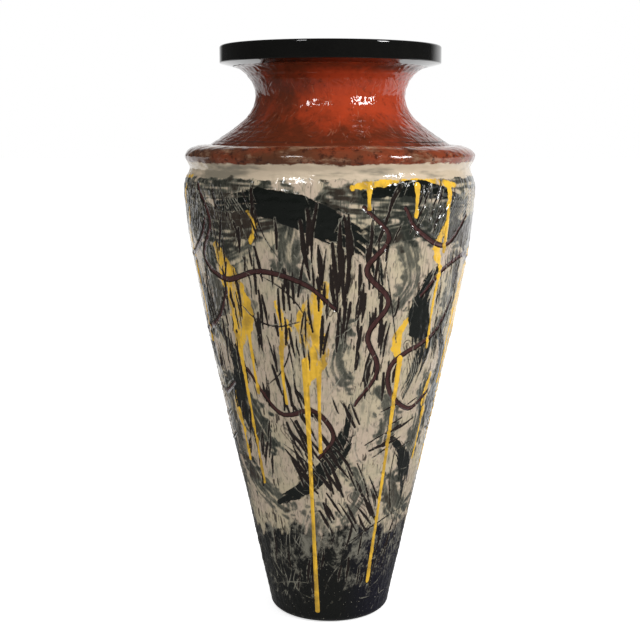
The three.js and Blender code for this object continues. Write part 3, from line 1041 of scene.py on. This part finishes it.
def red_glaze():
    """The neck: orange-red, brown-red low down, with painted shade that makes it brown-red under the rim and
    towards the left.
    """
    nodes = Nodes("red_glaze")
    rising = nodes.fade(nodes.height, 0.75, 0.825, 0.1, 1)
    # Painted shade: brown-red under the overhang of the rim
    painted_shade_under_rim = nodes.fade(nodes.height, 0.869, 0.852, 0.2, 1)
    # Painted shade: darker towards the left, away from the stronger lamp; the cloudy streaks below are the
    # glaze's own
    painted_light_rightward = nodes.fade(nodes.across, -0.1, 0.02, 0.3, 1.0)
    orange_and_painted_light = nodes.math("MULTIPLY", nodes.math("MULTIPLY", rising, painted_shade_under_rim), painted_light_rightward)
    streaks = nodes.noise(40, 4, 0.6, stretch=(1, 1, 0.3))
    orange_and_painted_light = nodes.sum((orange_and_painted_light, 1, 0), (nodes.noise(15, 6, 0.7), 1.4, 0.5), (streaks, 0.9, 0.5))
    colour = nodes.mix(nodes.fade(orange_and_painted_light, 0.05, 1.0), NECK_BROWN, ORANGE_RED)
    mottle = nodes.noise(90, 5, 0.7)
    colour = nodes.mix(nodes.fade(mottle, 0.52, 0.74, 0, 0.6), colour, DARK_BROWN)
    # Lighter along the scratches: partly scored glaze, partly a painted highlight on their edges
    filled = nodes.fade(nodes.noise(60, 3), 0.45, 0.65)
    scored_and_highlight = nodes.math("MULTIPLY", nodes.edge("scratch", 0.4, 0.5, 300), filled)
    colour = nodes.mix(nodes.math("MULTIPLY", scored_and_highlight, 0.4), colour, SCORED_RED_AND_HIGHLIGHT)
    colour = nodes.mix(nodes.mask("inside"), colour, INTERIOR)
    return nodes.finish(colour, nodes.sum((mottle, 1, 0.5), (streaks, 1, 0.5)), 0.5 * MM)


def black_glaze():
    """The rim: near-black, with the faint ripple of a thick glaze."""
    nodes = Nodes("black_glaze")
    colour = nodes.mix(nodes.noise(30, 4, 0.6), RIM_BLACK, RIM_GREY)
    return nodes.finish(colour, nodes.noise(45, 2, 0.5), 0.4 * MM, 0.06)


# Assembly


def with_rest(skin_points, skin_normals, fields, rest, under):
    """A section's outer rows with the rows of its top, inside and bottom added."""
    parts = [skin_points, turned(rest)]
    if under is not None:
        parts.insert(0, turned(under))
    points = np.concatenate(parts)
    normals = grid_normals(points)
    start = 0 if under is None else len(under)
    outer_rows = len(skin_points)
    normals[start : start + outer_rows] = skin_normals
    full = {}
    for name, values in fields.items():
        whole = np.full(points.shape[:2], FAR if name in EDGE_MASKS else 0.0)
        whole[start : start + outer_rows] = values
        full[name] = whole
    full["inside"] = np.zeros(points.shape[:2])
    full["inside"][start + outer_rows + 3 :] = 1
    full["bare"] = np.zeros(points.shape[:2])
    if under is not None:
        full["bare"][: start + 3] = 1
    return points, normals, full


MATERIAL_OF = {
    "foot": "painted_glaze",
    "lower_wall": "painted_glaze",
    "middle_wall": "painted_glaze",
    "upper_wall": "painted_glaze",
    "shoulder": "brown_glaze",
    "neck": "red_glaze",
}


def join_to_vase(piece, node):
    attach(piece, "root")
    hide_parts(node)


def build_vase():
    skin = body_skin()
    paint(skin)
    lift = relief(skin)
    points = turned(skin.outline, lift, skin.normal)
    normals = grid_normals(points)
    glazes = {"painted_glaze": painted_glaze(), "brown_glaze": brown_glaze(), "red_glaze": red_glaze()}
    start = 0
    for node, outer, rest, under in sections():
        rows = slice(start, start + len(outer))
        start += len(outer) - 1
        fields = {name: values[rows] for name, values in skin.fields.items()}
        made = with_rest(points[rows], normals[rows], fields, rest, under)
        piece = make_piece(f"{node}_glazed", *made, glazes[MATERIAL_OF[node]], poles=under is not None)
        join_to_vase(piece, node)

    outline = rim_outline()
    rim_points = turned(outline)
    piece = make_piece("rim_glazed", rim_points, grid_normals(rim_points), {}, black_glaze())
    join_to_vase(piece, "rim")


# Stage. The glazes mirror a white backdrop that stands behind the vase, a little to the right,
# and the dark room on the camera's side.

BACKDROP_TURN_DEG = 12
ROOM_LIGHT = 0.45
MIRRORED_ROOM = 0.06


def softbox(name, azimuth_deg, elevation_deg, distance, width, height, power):
    """A lamp at an angle to the right of the camera's side and above the horizon, aimed at the vase."""
    azimuth, elevation = math.radians(azimuth_deg), math.radians(elevation_deg)
    aim = Vector((0, 0, 0.7))
    away = Vector(
        (
            math.sin(azimuth) * math.cos(elevation),
            -math.cos(azimuth) * math.cos(elevation),
            math.sin(elevation),
        )
    )
    lamp = bpy.data.lights.new(name, "AREA")
    lamp.shape = "RECTANGLE"
    lamp.size, lamp.size_y = width, height
    lamp.energy = power
    holder = bpy.data.objects.new(name, lamp)
    holder.location = aim + away * distance
    holder.rotation_euler = (-away).to_track_quat("-Z", "Y").to_euler()
    bpy.context.scene.collection.objects.link(holder)


def backdrop_share(tree, vector, start, end):
    """0 to 1 as a direction, or a place on the floor, goes towards the backdrop."""
    towards = tree.nodes.new("ShaderNodeVectorMath")
    towards.operation = "DOT_PRODUCT"
    turn = math.radians(BACKDROP_TURN_DEG)
    towards.inputs[1].default_value = (math.sin(turn), math.cos(turn), 0)
    tree.links.new(vector, towards.inputs[0])
    share = tree.nodes.new("ShaderNodeMapRange")
    share.interpolation_type = "SMOOTHSTEP"
    tree.links.new(towards.outputs["Value"], share.inputs[0])
    for index, value in ((1, start), (2, end), (3, MIRRORED_ROOM), (4, 1.0)):
        share.inputs[index].default_value = value
    return share.outputs[0]


def mixed_by(tree, share, other, chosen):
    """A number that is one value or socket, and another one where the share is 1."""
    node = tree.nodes.new("ShaderNodeMix")
    tree.links.new(share, node.inputs[0])
    for index, value in ((2, other), (3, chosen)):
        if isinstance(value, bpy.types.NodeSocket):
            tree.links.new(value, node.inputs[index])
        else:
            node.inputs[index].default_value = value
    return node.outputs[0]


def surround():
    """White for the camera, backdrop and dark room for what mirrors, and an even light for the rest."""
    world = bpy.data.worlds.new("surround")
    bpy.context.scene.world = world
    world.use_nodes = True
    tree = world.node_tree
    direction = tree.nodes.new("ShaderNodeTexCoord").outputs["Generated"]
    rays = tree.nodes.new("ShaderNodeLightPath")
    backdrop = backdrop_share(tree, direction, 0.7, 0.94)
    mirrored = mixed_by(tree, rays.outputs["Is Glossy Ray"], ROOM_LIGHT, backdrop)
    strength = mixed_by(tree, rays.outputs["Is Camera Ray"], mirrored, 1.0)
    background = tree.nodes["Background"]
    tree.links.new(strength, background.inputs["Strength"])
    background.inputs["Color"].default_value = (1, 1, 1, 1)


def floor():
    """Pale for the camera, with the vase's shadow. What mirrors it sees only the glow behind the vase."""
    bpy.ops.mesh.primitive_plane_add(size=60)
    plane = bpy.context.object
    plane.name = "studio_floor"
    material = bpy.data.materials.new("floor_white")
    material.use_nodes = True
    tree = material.node_tree
    shader = tree.nodes["Principled BSDF"]
    place = tree.nodes.new("ShaderNodeTexCoord").outputs["Object"]
    rays = tree.nodes.new("ShaderNodeLightPath")
    paleness = mixed_by(tree, rays.outputs["Is Glossy Ray"], 0.85, 0.15)
    glow = tree.nodes.new("ShaderNodeMath")
    glow.operation = "MULTIPLY"
    tree.links.new(rays.outputs["Is Glossy Ray"], glow.inputs[0])
    tree.links.new(backdrop_share(tree, place, 0.35, 1.0), glow.inputs[1])
    tree.links.new(paleness, shader.inputs["Base Color"])
    shader.inputs["Roughness"].default_value = 1.0
    shader.inputs["Emission Color"].default_value = (1, 1, 1, 1)
    emission = mixed_by(tree, rays.outputs["Is Camera Ray"], glow.outputs[0], 0.68)
    tree.links.new(emission, shader.inputs["Emission Strength"])
    plane.data.materials.append(material)


def place_camera():
    """The photograph's own viewpoint."""
    data = bpy.data.cameras.new("camera")
    data.sensor_width = SENSOR_MM
    data.lens = SENSOR_MM * FOCAL_LENGTH_PX / PHOTO_WIDTH_PX
    data.shift_x = -AXIS_RIGHT_OF_CENTRE_PX / PHOTO_WIDTH_PX
    camera = bpy.data.objects.new("camera", data)
    pitch = Matrix.Rotation(math.radians(90 - CAMERA_PITCH_DEG), 4, "X")
    roll = Matrix.Rotation(math.radians(CAMERA_ROLL_DEG), 4, "Z")
    camera.matrix_world = Matrix.Translation((0, -CAMERA_DISTANCE, CAMERA_HEIGHT)) @ pitch @ roll
    bpy.context.scene.collection.objects.link(camera)
    bpy.context.scene.camera = camera


build_vase()
surround()
floor()
softbox("softbox_left", -30, 36, 2.0, 0.3, 0.44, 10)
softbox("softbox_right", 54, 24, 2.0, 0.34, 0.6, 26)
place_camera()
bpy.context.scene.view_settings.view_transform = "Standard"
